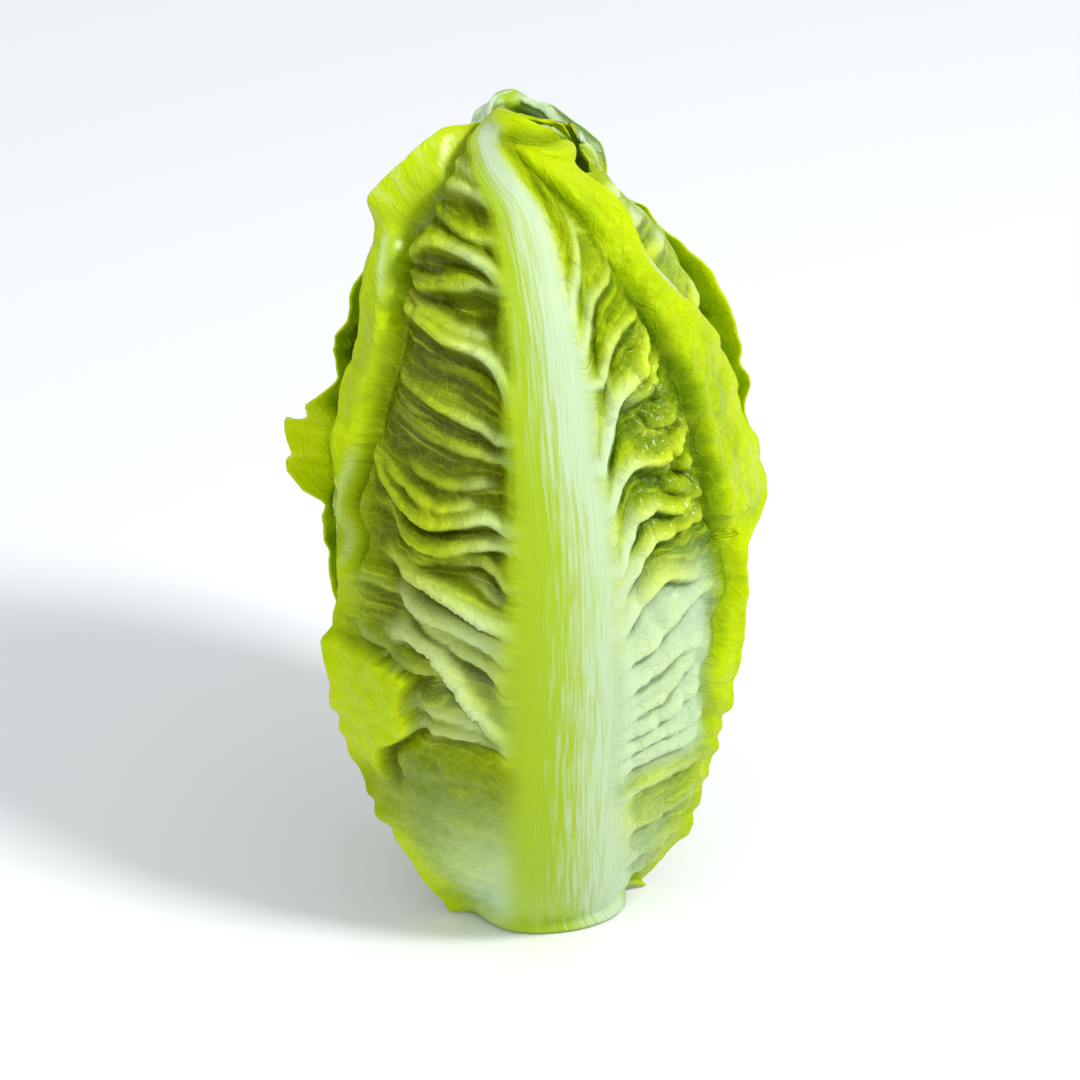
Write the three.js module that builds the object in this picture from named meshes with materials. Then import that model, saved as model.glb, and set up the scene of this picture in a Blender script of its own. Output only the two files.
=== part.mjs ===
// A little gem lettuce: one small cos head that stands upright on its trimmed stem.
// Millimetres, +Z up. The origin is the centre of the flat cut under the stem, and -Y is the front.
//
// The leaves sit on the stem in a spiral, from the large outer ones to the tiny heart leaves, and each one
// lies just inside the leaf that grew before it. The egg-shaped outside of the head is one curve of radius
// against height. Every leaf follows that curve, moved inwards by its own depth, so neighbours never meet.
import * as THREE from "three";

// The head
const HEAD_HEIGHT = 150;
const HEAD_RADIUS = 39.4;
const SPIRAL_TURN = 137.5; // degrees from one inner leaf to the next round the stem
const FRONT = -90; // the direction of -Y, in degrees from +X

// The stem
const CUT_RADIUS = 14;
const STEM_HEIGHT = 54;
const STEM_TOP_RADIUS = 2.2;
const STEM_TAPER = 0.85; // below 1, the stem narrows faster near the cut
const STEM_SIDES = 32;
const STEM_CHAMFER = 0.8;

// The leaves
const OUTER_COUNT = 7;
const MIDDLE_COUNT = 7;
const HEART_COUNT = 5;
const OUTER_PITCH = 2.2; // from one leaf to the next, measured across the head
const MIDDLE_PITCH = 1.75;
const HEART_PITCH = 1.65;
const BLADE = 1.15; // thickness of the blade, measured level
const TIP_BLADE = 0.7;
const ROOT_CLEARANCE = 0.35; // between a leaf's root and the stem
const FLOOR_CLEARANCE = 0.6; // the outermost roots end just above the cut
const COVERED_RIB = 0.15; // how far a midrib rises where another leaf lies over it
const BARE_RIB = 2.6;
const BARE_RIB_COUNT = 2; // the front leaf and the back one
const OUTER_RIB_WIDTH = 19;
const INNERMOST_RIB_WIDTH = 4;
const TIP_RIB_WIDTH = 4;
const MIDDLE_WRAP = 1.75; // half the width of a leaf, as a share of the radius that it grows to
const HEART_WRAP = 1.8;
const WIDEST_WRAP = 2.5; // the most that half a leaf bends round the head, in radians
const TIP_RADIUS = 3.2; // inner leaves end where the head leaves them this much radius
const RING_STEP = 11.5; // every leaf has a row of points at each of these heights, so that facets nest

// The tiny furled leaves at the growing point
const BUD_RADIUS = 3.6;
const BUD_HEIGHT = 44;
const BUD_SIDES = 12;
const BUD_FULLNESS = 0.8; // below 1, the bud is widest below its middle

const LEAF_GREEN = 0x93b512;
const MIDDLE_GREEN = 0xc3d63a;
const HEART_YELLOW = 0xe6ea8c;
const STEM_CREAM = 0xe4e9c4;

// A smooth curve through [place, value] pairs, with places from 0 to 1.
function smoothCurve(pairs) {
  return (place) => {
    const last = pairs.length - 2;
    let i = 0;
    while (i < last && place > pairs[i + 1][0]) i++;
    const [x0, y0] = pairs[i];
    const [x1, y1] = pairs[i + 1];
    const slopeAt = (k) => {
      const [xa, ya] = pairs[Math.max(k - 1, 0)];
      const [xb, yb] = pairs[Math.min(k + 1, pairs.length - 1)];
      return (yb - ya) / (xb - xa);
    };
    const width = x1 - x0;
    const t = THREE.MathUtils.clamp((place - x0) / width, 0, 1);
    const rise = t * t * (3 - 2 * t);
    return (
      y0 * (1 - rise) +
      y1 * rise +
      slopeAt(i) * width * t * (1 - t) * (1 - t) -
      slopeAt(i + 1) * width * t * t * (1 - t)
    );
  };
}

// Radius of the head, as a share of its largest, against height, as a share of the whole height.
const headShape = smoothCurve([
  [0.0, 0.385],
  [0.04, 0.52],
  [0.1, 0.68],
  [0.18, 0.81],
  [0.3, 0.93],
  [0.46, 1.0],
  [0.6, 0.98],
  [0.72, 0.89],
  [0.82, 0.745],
  [0.9, 0.57],
  [0.96, 0.39],
  [1.0, 0.2],
]);

// Half the width of a leaf, as a share of its widest, from its root (0) to its tip (1).
const leafShape = smoothCurve([
  [0.0, 0.5],
  [0.12, 0.68],
  [0.35, 0.93],
  [0.55, 1.0],
  [0.75, 0.93],
  [0.88, 0.7],
  [0.96, 0.42],
  [1.0, 0.2],
]);

// The same, in millimetres, and straight from one ring height to the next.
function headRadius(z) {
  const below = Math.floor(z / RING_STEP) * RING_STEP;
  const above = Math.min(below + RING_STEP, HEAD_HEIGHT);
  const share = (z - below) / (above - below || 1);
  const radiusAt = (height) => HEAD_RADIUS * headShape(height / HEAD_HEIGHT);
  return THREE.MathUtils.lerp(radiusAt(below), radiusAt(above), share);
}

const stemRadius = (z) =>
  THREE.MathUtils.lerp(CUT_RADIUS, STEM_TOP_RADIUS, Math.pow(z / STEM_HEIGHT, STEM_TAPER));

// The height at which a leaf of this depth leaves the stem.
function rootHeight(depth) {
  const needed = depth + BLADE / 2 + ROOT_CLEARANCE;
  const step = 0.1;
  let z = FLOOR_CLEARANCE;
  while (headRadius(z) - stemRadius(z) < needed && z < STEM_HEIGHT) z += step;
  return z;
}

// One closed body through a row of closed sections, all with the same number of points.
function loft(sections) {
  const around = sections[0].length;
  const across = around / 2;
  const positions = sections.flat().flatMap((p) => [p.x, p.y, p.z]);
  const triangles = [];
  const quad = (a, b, c, d) => triangles.push(a, b, c, a, c, d);
  for (let row = 0; row < sections.length - 1; row++) {
    for (let k = 0; k < around; k++) {
      const next = (k + 1) % around;
      const low = row * around;
      const high = low + around;
      quad(low + k, low + next, high + next, high + k);
    }
  }
  const top = (sections.length - 1) * around;
  for (let k = 0; k < across - 1; k++) {
    const facing = around - 1 - k;
    quad(k, facing, facing - 1, k + 1);
    quad(top + k, top + k + 1, top + facing - 1, top + facing);
  }
  const geometry = new THREE.BufferGeometry();
  geometry.setAttribute("position", new THREE.Float32BufferAttribute(positions, 3));
  geometry.setIndex(triangles);
  geometry.computeVertexNormals();
  return geometry;
}

// The heights of a leaf's rows: its two ends, and the rings between them.
function rowHeights(root, top) {
  const heights = [root];
  const least = 2;
  for (let z = RING_STEP; z < top - least; z += RING_STEP) {
    if (z > root + least) heights.push(z);
  }
  return [...heights, top];
}

// A leaf: leaf.depth inside the head's surface, leaf.turn round it, from the stem up to leaf.top.
function leafGeometry(leaf) {
  const root = rootHeight(leaf.depth);
  const centre = THREE.MathUtils.degToRad(leaf.turn);
  const sections = [];
  for (const z of rowHeights(root, leaf.top)) {
    const t = (z - root) / (leaf.top - root);
    const radius = headRadius(z) - leaf.depth;
    const blade = THREE.MathUtils.lerp(BLADE, TIP_BLADE, t * t);
    const ribHalfWidth = THREE.MathUtils.lerp(leaf.ribWidth, TIP_RIB_WIDTH, t) / 2;
    const ribRise = leaf.ribRise * (1 - t * t);
    const outside = [];
    const inside = [];
    for (let column = 0; column <= leaf.columns; column++) {
      const side = (2 * column) / leaf.columns - 1;
      const half = (side < 0 ? leaf.left : leaf.right) * leafShape(t);
      const wrap = Math.min(half / radius, WIDEST_WRAP);
      const round = Math.sign(side) * wrap * Math.pow(Math.abs(side), leaf.crowding);
      const arc = round * radius;
      const outward = new THREE.Vector3(Math.cos(centre + round), Math.sin(centre + round), 0);
      const rib = ribRise * Math.exp(-Math.pow(arc / ribHalfWidth, 2));
      outside.push(outward.clone().multiplyScalar(radius + blade / 2 + rib).setZ(z));
      inside.push(outward.clone().multiplyScalar(radius - blade / 2).setZ(z));
    }
    sections.push([...outside, ...inside.reverse()]);
  }
  return loft(sections);
}

// The spiral of leaves, from the front outer leaf inwards.
function leafPlan() {
  // Each outer leaf: its degrees round from the front, its half widths to either side of its midrib,
  // and how high its tip reaches, as a share of the head's height.
  const outerLeaves = [
    { turn: 0, left: 46, right: 50, top: 0.985 },
    { turn: 183, left: 55, right: 55, top: 0.995 },
    { turn: 322, left: 50, right: 48, top: 0.945 },
    { turn: 118, left: 50, right: 50, top: 0.96 },
    { turn: 243, left: 48, right: 50, top: 0.97 },
    { turn: 20, left: 48, right: 46, top: 0.95 },
    { turn: 150, left: 46, right: 46, top: 0.96 },
  ];
  const leaves = [];
  let depth = 0;
  for (let i = 0; i < OUTER_COUNT + MIDDLE_COUNT + HEART_COUNT; i++) {
    const outer = i < OUTER_COUNT;
    const middle = !outer && i < OUTER_COUNT + MIDDLE_COUNT;
    const place = outer ? i : middle ? i - OUTER_COUNT : i - OUTER_COUNT - MIDDLE_COUNT;
    const pitch = outer ? OUTER_PITCH : middle ? MIDDLE_PITCH : HEART_PITCH;
    const ring = outer ? "outer" : middle ? "middle" : "heart";
    const half = (HEAD_RADIUS - depth) * (middle ? MIDDLE_WRAP : HEART_WRAP);
    const lastOuter = outerLeaves[OUTER_COUNT - 1].turn;
    const turn = lastOuter + (i - OUTER_COUNT + 1) * SPIRAL_TURN;
    const shape = outer ? outerLeaves[i] : { turn, left: half, right: half };
    const reach = outer ? shape.top : tipReach(depth);
    leaves.push({
      name: `${ring}_leaf_${place + 1}`,
      depth,
      turn: FRONT + shape.turn,
      top: reach * HEAD_HEIGHT,
      left: shape.left,
      right: shape.right,
      columns: outer ? 12 : middle ? 10 : 8,
      crowding: outer ? 1.3 : 1, // above 1, the columns gather towards the midrib
      ribWidth: THREE.MathUtils.lerp(OUTER_RIB_WIDTH, INNERMOST_RIB_WIDTH, depth / HEAD_RADIUS),
      ribRise: i < BARE_RIB_COUNT ? BARE_RIB : COVERED_RIB,
      colour: outer ? LEAF_GREEN : middle ? MIDDLE_GREEN : HEART_YELLOW,
    });
    depth += pitch;
  }
  return leaves;
}

// How high an inner leaf reaches, as a share of the head's height.
function tipReach(depth) {
  const step = 0.5;
  let z = HEAD_HEIGHT;
  while (headRadius(z) - depth < TIP_RADIUS) z -= step;
  return z / HEAD_HEIGHT;
}

function stemGeometry() {
  const profile = [new THREE.Vector2(0, 0), new THREE.Vector2(CUT_RADIUS - STEM_CHAMFER, 0)];
  const steps = 6;
  for (let i = 0; i <= steps; i++) {
    const z = THREE.MathUtils.lerp(STEM_CHAMFER, STEM_HEIGHT, i / steps);
    profile.push(new THREE.Vector2(stemRadius(z), z));
  }
  profile.push(new THREE.Vector2(0, STEM_HEIGHT));
  return new THREE.LatheGeometry(profile, STEM_SIDES).rotateX(Math.PI / 2);
}

function budGeometry() {
  const bottom = STEM_HEIGHT + ROOT_CLEARANCE;
  const profile = [];
  const steps = 8;
  for (let i = 0; i <= steps; i++) {
    const t = i / steps;
    const end = i === 0 || i === steps;
    const swell = end ? 0 : Math.sin(Math.PI * Math.pow(t, BUD_FULLNESS));
    profile.push(new THREE.Vector2(BUD_RADIUS * swell, bottom + BUD_HEIGHT * t));
  }
  return new THREE.LatheGeometry(profile, BUD_SIDES).rotateX(Math.PI / 2);
}

function namedMesh(name, geometry, colour, roughness) {
  const material = new THREE.MeshStandardMaterial({ color: colour, roughness, metalness: 0 });
  const mesh = new THREE.Mesh(geometry, material);
  mesh.name = name;
  return mesh;
}

const head = new THREE.Group();
head.name = "little_gem_lettuce";
head.add(namedMesh("cut_stem", stemGeometry(), STEM_CREAM, 0.6));
head.add(namedMesh("heart_bud", budGeometry(), HEART_YELLOW, 0.5));
for (const leaf of leafPlan()) {
  head.add(namedMesh(leaf.name, leafGeometry(leaf), leaf.colour, 0.4));
}

export default head;
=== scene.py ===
# A little gem lettuce: crinkled leaves wrapped one over another round a short stem, cut flat to stand on.
# Blender's objects are in metres. The leaves are worked out in millimetres, +Z up, with -Y the front.
import math

import bpy
import numpy as np
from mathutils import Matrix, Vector


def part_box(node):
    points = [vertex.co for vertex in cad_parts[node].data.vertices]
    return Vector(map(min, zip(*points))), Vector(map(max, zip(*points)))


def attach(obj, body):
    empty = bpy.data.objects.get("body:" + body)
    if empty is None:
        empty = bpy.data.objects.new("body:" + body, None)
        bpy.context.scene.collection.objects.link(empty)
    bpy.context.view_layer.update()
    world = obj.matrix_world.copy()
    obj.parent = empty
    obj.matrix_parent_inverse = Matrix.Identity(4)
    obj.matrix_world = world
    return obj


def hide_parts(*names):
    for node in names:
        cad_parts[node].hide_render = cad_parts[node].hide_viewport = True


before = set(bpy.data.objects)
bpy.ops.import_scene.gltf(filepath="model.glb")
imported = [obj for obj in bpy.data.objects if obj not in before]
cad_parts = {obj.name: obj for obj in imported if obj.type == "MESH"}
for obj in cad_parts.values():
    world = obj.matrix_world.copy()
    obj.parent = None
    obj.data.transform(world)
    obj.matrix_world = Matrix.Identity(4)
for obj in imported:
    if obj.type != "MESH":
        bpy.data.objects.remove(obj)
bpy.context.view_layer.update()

MM = 0.001

# What each point of a leaf tells its finish, from 0 to 1 or in millimetres
LEAF_MARKS = (
    "rib", "green", "vein", "hollow", "rim", "pale", "streak", "flow", "ledge", "calm", "wet", "away",
    "across", "inside",
)

# The head, as the solids have it
HEAD_HEIGHT = 150.0
HEAD_RADIUS = 39.4
SPIRAL_TURN = 137.5
FRONT = -90.0
CUT_RADIUS = 14.0
STEM_HEIGHT = 54.0
STEM_TOP_RADIUS = 2.2
STEM_TAPER = 0.85
STEM_CHAMFER = 0.8
BUD_RADIUS = 3.6
BUD_HEIGHT = 44.0
BUD_FULLNESS = 0.8
BUD_CLEARANCE = 0.35
OUTER_PITCH = 2.2
MIDDLE_PITCH = 1.75
HEART_PITCH = 1.65
MIDDLE_WRAP = 1.75  # half the width of a leaf, as a share of the radius that it grows to
HEART_WRAP = 1.8
MIDDLE_COUNT = 7
HEART_COUNT = 5

# What a leaf is made of
FLOOR_CLEARANCE = 0.4
LEAF_GAP = 0.25  # air left between one leaf and the next
BLADE_THICKNESS = 0.6
MARGIN_THICKNESS = 0.3
WIDEST_WRAP = 2.6  # the most that half a leaf bends round the head, in radians
TIP_BEND = 4.0  # how far the tips of the inner leaves bend in over the heart
VEIN_PITCH = 11.0
PLEAT_HEIGHT = 0.5
MARGIN_CURL = 0.5
PRESSED_DOWN = 0.4  # how much lower the tips are pressed, for each millimetre above PRESSED_FROM
PRESSED_FROM = 147
SLIMMER = 0.13  # how much narrower the top is on its right
LOWER = 0.42  # how much lower the top is for each millimetre to the right
NOISE_CELLS = 64  # noise and blisters repeat after this many units


def ease(low, high, x):
    """0 below low, 1 above high, and a smooth rise between; a fall where low is the greater."""
    t = np.clip((x - low) / (high - low), 0, 1)
    return t * t * (3 - 2 * t)


def mix(a, b, t):
    """The value that is a share t of the way from a to b."""
    return a + (b - a) * t


def bump(x, centre, width):
    """1 at its centre, falling away smoothly to either side."""
    return np.exp(-(((x - centre) / width) ** 2))


def smooth_curve(*pairs):
    """A smooth curve through (place, value) pairs, level beyond its ends."""
    place, value = np.array(pairs, float).T
    count = len(place)
    before = np.maximum(np.arange(count) - 1, 0)
    after = np.minimum(np.arange(count) + 1, count - 1)
    slope = (value[after] - value[before]) / (place[after] - place[before])

    def at(x):
        x = np.clip(x, place[0], place[-1])
        i = np.clip(np.searchsorted(place, x, side="right") - 1, 0, count - 2)
        width = place[i + 1] - place[i]
        t = (x - place[i]) / width
        rise = t * t * (3 - 2 * t)
        lean = slope[i] * t * (1 - t) ** 2 - slope[i + 1] * t * t * (1 - t)
        return mix(value[i], value[i + 1], rise) + lean * width

    return at


def noise(x, y, seed):
    """Smooth random waves from -1 to 1, about one unit from crest to trough."""
    table = np.random.default_rng(seed).uniform(-1, 1, (NOISE_CELLS, NOISE_CELLS))
    ix, iy = np.floor(x).astype(int), np.floor(y).astype(int)
    sx, sy = ease(0, 1, x - ix), ease(0, 1, y - iy)
    column, row = ix % NOISE_CELLS, iy % NOISE_CELLS
    next_column, next_row = (ix + 1) % NOISE_CELLS, (iy + 1) % NOISE_CELLS
    low = mix(table[row, column], table[row, next_column], sx)
    high = mix(table[next_row, column], table[next_row, next_column], sx)
    return mix(low, high, sy)


def blisters(x, y, seed):
    """Puckered cells about one unit across: 1 over each cell, down to 0 in the furrows between them."""
    jitter = np.random.default_rng(seed).uniform(0, 1, (NOISE_CELLS, NOISE_CELLS, 2))
    ix, iy = np.floor(x).astype(int), np.floor(y).astype(int)
    nearest = np.full(x.shape, 9.0)
    second = np.full(x.shape, 9.0)
    for dx in (-1, 0, 1):
        for dy in (-1, 0, 1):
            cell = jitter[(iy + dy) % NOISE_CELLS, (ix + dx) % NOISE_CELLS]
            away = np.hypot(ix + dx + cell[..., 0] - x, iy + dy + cell[..., 1] - y)
            second = np.minimum(second, np.maximum(nearest, away))
            nearest = np.minimum(nearest, away)
    return ease(0, 0.55, second - nearest)


# Radius of the head, as a share of its largest, against height, as a share of the whole height
head_shape = smooth_curve(
    (0, 0.385), (0.04, 0.52), (0.1, 0.68), (0.18, 0.81), (0.3, 0.93), (0.46, 1),
    (0.6, 0.98), (0.72, 0.89), (0.82, 0.745), (0.9, 0.57), (0.96, 0.39), (1, 0.2), (1.03, 0.02),
)
# Half the width of a leaf, as a share of its widest, from its root (0) to its tip (1)
leaf_shape = smooth_curve(
    (0, 0.5), (0.12, 0.68), (0.35, 0.93), (0.55, 1), (0.75, 0.93), (0.88, 0.72),
    (0.95, 0.48), (0.985, 0.25), (1, 0.04),
)


def settled(points):
    """The top of the head as it has grown: pressed down a little, and lower and slimmer on its right."""
    x, z = points[..., 0].copy(), points[..., 2].copy()
    points[..., 0] -= SLIMMER * np.maximum(x, 0) * ease(108, 140, z)
    pressed = PRESSED_DOWN * np.maximum(z - PRESSED_FROM, 0)
    points[..., 2] -= pressed + LOWER * np.maximum(x + 4, 0) * ease(118, 150, z)
    return points


def head_radius(height):
    return HEAD_RADIUS * head_shape(height / HEAD_HEIGHT)


class Wrapping:
    """How far out the head reaches so far: millimetres from the axis, for every direction and height."""

    ANGLES = 720
    STEP = 0.5
    ROWS = int(HEAD_HEIGHT * 1.08 / STEP)

    def __init__(self):
        self.reach = np.zeros((self.ROWS, self.ANGLES))
        self.soft = self.reach

    def place(self, angle, height):
        across = (angle / (2 * np.pi) * self.ANGLES) % self.ANGLES
        up = np.clip(height / self.STEP, 0, self.ROWS - 1.001)
        return across, up

    def add(self, points):
        """Counts a leaf's outer face in, and keeps a softened copy for the next leaf to lie on."""
        x, y, z = points[..., 0].ravel(), points[..., 1].ravel(), points[..., 2].ravel()
        across, up = self.place(np.arctan2(y, x), z)
        column, row = across.astype(int), up.astype(int)
        for dx in (0, 1):
            for dy in (0, 1):
                spot = (np.minimum(row + dy, self.ROWS - 1), (column + dx) % self.ANGLES)
                np.maximum.at(self.reach, spot, np.hypot(x, y))
        shape = head_radius(np.arange(self.ROWS) * self.STEP)[:, None]
        soft = np.maximum(self.reach - shape, -HEAD_RADIUS)
        for shift in (1, 2, -3, 1, 2, -3):
            soft = np.maximum(soft, np.roll(soft, shift, 1))
            soft = np.maximum(soft, np.roll(soft, shift, 0))
        for _ in range(10):
            soft = (np.roll(soft, 1, 1) + 2 * soft + np.roll(soft, -1, 1)) / 4
            padded = np.pad(soft, ((1, 1), (0, 0)), mode="edge")
            soft = (padded[:-2] + 2 * soft + padded[2:]) / 4
        self.soft = soft + shape

    def under(self, angle, height):
        across, up = self.place(angle, height)
        column, row = across.astype(int), up.astype(int)
        right = (column + 1) % self.ANGLES
        share = across - column
        low = mix(self.soft[row, column % self.ANGLES], self.soft[row, right], share)
        high = mix(self.soft[row + 1, column % self.ANGLES], self.soft[row + 1, right], share)
        return mix(low, high, up - row)


class Veins:
    """The side veins on one half of a leaf. Each starts at a height on the midrib, runs up beside it for a
    way, climbs outwards at a slope and curves by a bend, and the hollow above it has a depth."""

    def __init__(self, rows):
        self.start, self.beside, self.slope, self.bend, self.hollow = np.array(rows, float).T
        self.arcs = np.arange(0, 100, 1.0)
        self.heights = np.arange(-30, 200, 0.5)
        start = np.linspace(self.heights[0] - 60, self.heights[-1] + 60, 1200)
        beside, slope, bend = [np.interp(start, self.start, v) for v in (self.beside, self.slope, self.bend)]
        climbs = [start + beside * (1 - np.exp(-a / 5)) + slope * a + bend * a * a for a in self.arcs]
        self.table = np.array([np.interp(self.heights, np.maximum.accumulate(c), start) for c in climbs])

    def read(self, arc, height):
        """For each place: how far it is from the vein below to the vein above (0 to 1), the depth of the
        hollow there, the height from vein to vein, and a smooth height that follows the veins."""
        column = np.clip(arc, 0, len(self.arcs) - 1.001)
        row = np.clip((height - self.heights[0]) / 0.5, 0, len(self.heights) - 1.001)
        i, j = column.astype(int), row.astype(int)
        near = mix(self.table[i, j], self.table[i, j + 1], row - j)
        far = mix(self.table[i + 1, j], self.table[i + 1, j + 1], row - j)
        start = mix(near, far, column - i)
        phase = np.interp(start, self.start, np.arange(len(self.start)))
        vein = np.clip(np.floor(phase).astype(int), 0, len(self.start) - 2)
        return phase - vein, self.hollow[vein], np.diff(self.start)[vein], start


# How far a fold slopes away above its crest, against its height on the head
fold_slope = smooth_curve((30, 4), (45, 3.6), (60, 5.4), (76, 4.6), (90, 2.8), (120, 2.5), (150, 1.5))


class Folds:
    """Folds placed one by one on half a leaf. Each has a height above the hollows beside it, a paleness, and
    points along its crest as (distance from the midrib, height above the floor)."""

    STEEP = 1.1  # how far a fold slopes away below its crest

    def __init__(self, depth, folds):
        self.depth = depth
        self.folds = [(*fold, smooth_curve(*fold[2])) for fold in folds]

    def read(self, away, z):
        """How far each place stands above the floor of the hollows, how pale it is, how deep in shade, how
        close under or over a crest, and a smooth height that follows the folds."""
        rise, pale, shade, ledge, flow, total = [np.zeros_like(z) for _ in range(6)]
        for height, paleness, points, crest in self.folds:
            start, end = points[0][0], points[-1][0]
            slope = crest(away + 0.5) - crest(away - 0.5)
            above = (z - crest(away)) / np.hypot(1, slope)
            weight = 1 - ease(end - 3, end + 3.5, away)
            if start > 11:
                weight = weight * ease(start - 3, start + 1, away)
            low_end = mix(1, 0.45, ease(end - 15, end - 1, away) * ease(10, 24, end - start))
            width = np.where(above > 0, fold_slope(z), self.STEEP)
            sharp = np.where(above > 0, 1.25, 1.6)
            profile = np.exp(-(np.sqrt(above**2 + 0.12) / width) ** sharp)
            rise = np.maximum(rise, height * low_end * weight * profile)
            pull = 1 / (1 + (above / 4) ** 2) ** 2
            flow += pull * (z - crest(away) + crest(15))
            total += pull
            thin = np.where(above > 0, 0.5 * fold_slope(z), 0.9) * (0.45 + 0.55 * paleness)
            fade = mix(1, 0.6, ease(8, 34, away))
            pale = np.maximum(pale, paleness * weight * fade * np.exp(-((above / thin) ** 2)))
            strength = np.minimum(height / 3, 1) * low_end * weight
            shade = np.maximum(shade, strength * bump(above, -2.2, 1.6))
            ledge += strength * above * np.exp(-((above / 1.7) ** 2))
        return rise, pale, shade, ledge, flow / total


def grown_veins(root, top, seed, hollow):
    """Side veins at the spacing of a real leaf: steep near its root, nearly level near its tip."""
    draw = np.random.default_rng(seed)
    rows = []
    height = root - 25
    while height < top + 25:
        share = (height - root) / (top - root)
        slope = mix(0.6, -0.1, np.clip(share, 0, 1)) + draw.uniform(-0.08, 0.08)
        beside = mix(6, 2, np.clip(share, 0, 1)) * draw.uniform(0.5, 1.5)
        rows.append((height, beside, slope, 0.002, hollow * draw.uniform(0.6, 1.15)))
        height += VEIN_PITCH * draw.uniform(0.72, 1.28)
    return rows


class Leaf:
    """One leaf: where it grows, how wide it is on each side, and how it is veined, puckered and frilled."""

    def __init__(self, node, turn, depth, widths, **details):
        low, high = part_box(node)
        self.node = node
        self.turn = math.radians(FRONT + turn)
        self.depth = depth
        self.root = low.z / MM
        self.top = high.z / MM + details.pop("raised", 0)
        self.left, self.right = widths
        self.detail = 0.0  # how much closer its rows are in the upper half
        self.lift = 0.8  # how far the crests stand above what the leaf lies on
        self.hollow = 0.5
        self.pucker = 0.3
        self.frill = 0.5
        self.lip = 0.0  # how far its top edge turns out
        self.sway = (0, 0, 0)  # how far its tip is bent aside, back and up
        self.rib_rise = 1.0
        self.rib_path = lambda z: 0 * z
        self.rib_light = 0.3  # how far the midrib's painted lit side spreads over it higher up
        self.rib_taper = lambda share: mix(1, 0.16, share**0.9)
        self.greenness = lambda arc, z: 0.5 + 0.5 * noise(arc / 25, z / 30, self.seed + 51)
        self.relief = None  # forms and colours of its own, on top of what every leaf has
        self.flare = None  # how its margins roll, beyond what every leaf's do
        self.edges = None  # its reach to the left and right of its midrib, against height
        self.folds = None  # for each side, folds that take the place of veins
        for name, value in details.items():
            setattr(self, name, value)
        if not self.folds:
            both = [grown_veins(self.root, self.top, self.seed + side, self.hollow) for side in (1, 2)]
            self.veins = [Veins(rows) for rows in both]

    def half_widths(self, height):
        """The leaf's reach to its left and right of the midrib, in millimetres round the head."""
        if self.edges:
            left, right = self.edges
            return left(height), right(height)
        share = (height - self.root) / (self.top - self.root)
        shape = leaf_shape(share)
        waver = 1 + 0.05 * noise(height / 17, 0 * height, self.seed + 5)
        return self.left * shape * waver, self.right * shape * (2 - waver)

    def covers(self, angle, height):
        """1 well inside the leaf's outline, 0 outside it."""
        radius = np.maximum(head_radius(height) - self.depth, 4)
        around = (angle - self.turn + np.pi) % (2 * np.pi) - np.pi
        arc = around * radius - self.rib_path(height)
        left, right = self.half_widths(np.clip(height, self.root, self.top))
        inside = np.where(arc < 0, left + arc, right - arc)
        return ease(-1.5, 3.5, inside) * ease(self.top + 2, self.top - 4, height)


def rows_by_length(leaf):
    """Heights of the leaf's rows, an even distance apart along its curve."""
    height = np.linspace(leaf.root, leaf.top, 600)
    radius = head_radius(height) - leaf.depth
    closer = 1 + leaf.detail * ease(66, 76, height[1:]) * ease(144, 138, height[1:])
    length = np.concatenate([[0], np.cumsum(np.hypot(np.diff(height), np.diff(radius)) * closer)])
    return np.interp(np.linspace(0, length[-1], leaf.rows), length, height)


def roll_margin(past, strip, turn):
    """A strip that bends outwards through an angle: how far it still runs on, and how far it stands off."""
    run = np.zeros_like(past)
    rise = np.zeros_like(past)
    steps = 14
    bend = np.minimum(strip, 5)
    for k in range(steps):
        angle = turn * ease(0, 1, past * (k + 0.5) / steps / np.maximum(bend, 0.5))
        run += np.cos(angle) * past / steps
        rise += np.sin(angle) * past / steps
    return run, rise


def folded(leaf, arc, z, side, out, from_rib, blade, warp):
    """The lie of a leaf with folds placed one by one: how far it sinks between them as a share of the
    hollow's depth, that depth, and its veins, pleats, painted shade, undercuts and flow."""
    broad_x, broad_z, fine_x, fine_z = warp
    away = np.abs(arc) + 0.4 * broad_x + 1.3 * fine_x
    both = [folds.read(away, z + 0.4 * broad_z + 1.6 * fine_z) for folds in leaf.folds]
    rise, vein, shade, ledge, flow = [np.where(side < 0, left, right) for left, right in zip(*both)]
    hollow = np.where(side < 0, leaf.folds[0].depth(z), leaf.folds[1].depth(z))
    sunk = np.clip(1 - rise / hollow, -0.4, 1) * blade
    vein = vein * ease(-3, 1, from_rib)
    streak = 0.5 * noise(flow / 1.5, away / 13, leaf.seed + 41)
    streak += 0.35 * noise(flow / 0.8, away / 7, leaf.seed + 42)
    # Painted shade: darker deep in the hollows and just under each crest
    painted_shade = np.clip(1.1 * np.maximum(sunk, 0) ** 1.4 + 0.6 * shade * blade, 0, 1) * np.clip(hollow / 3, 0, 1)
    return sunk, hollow, vein, streak, painted_shade, ledge * blade, flow


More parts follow.
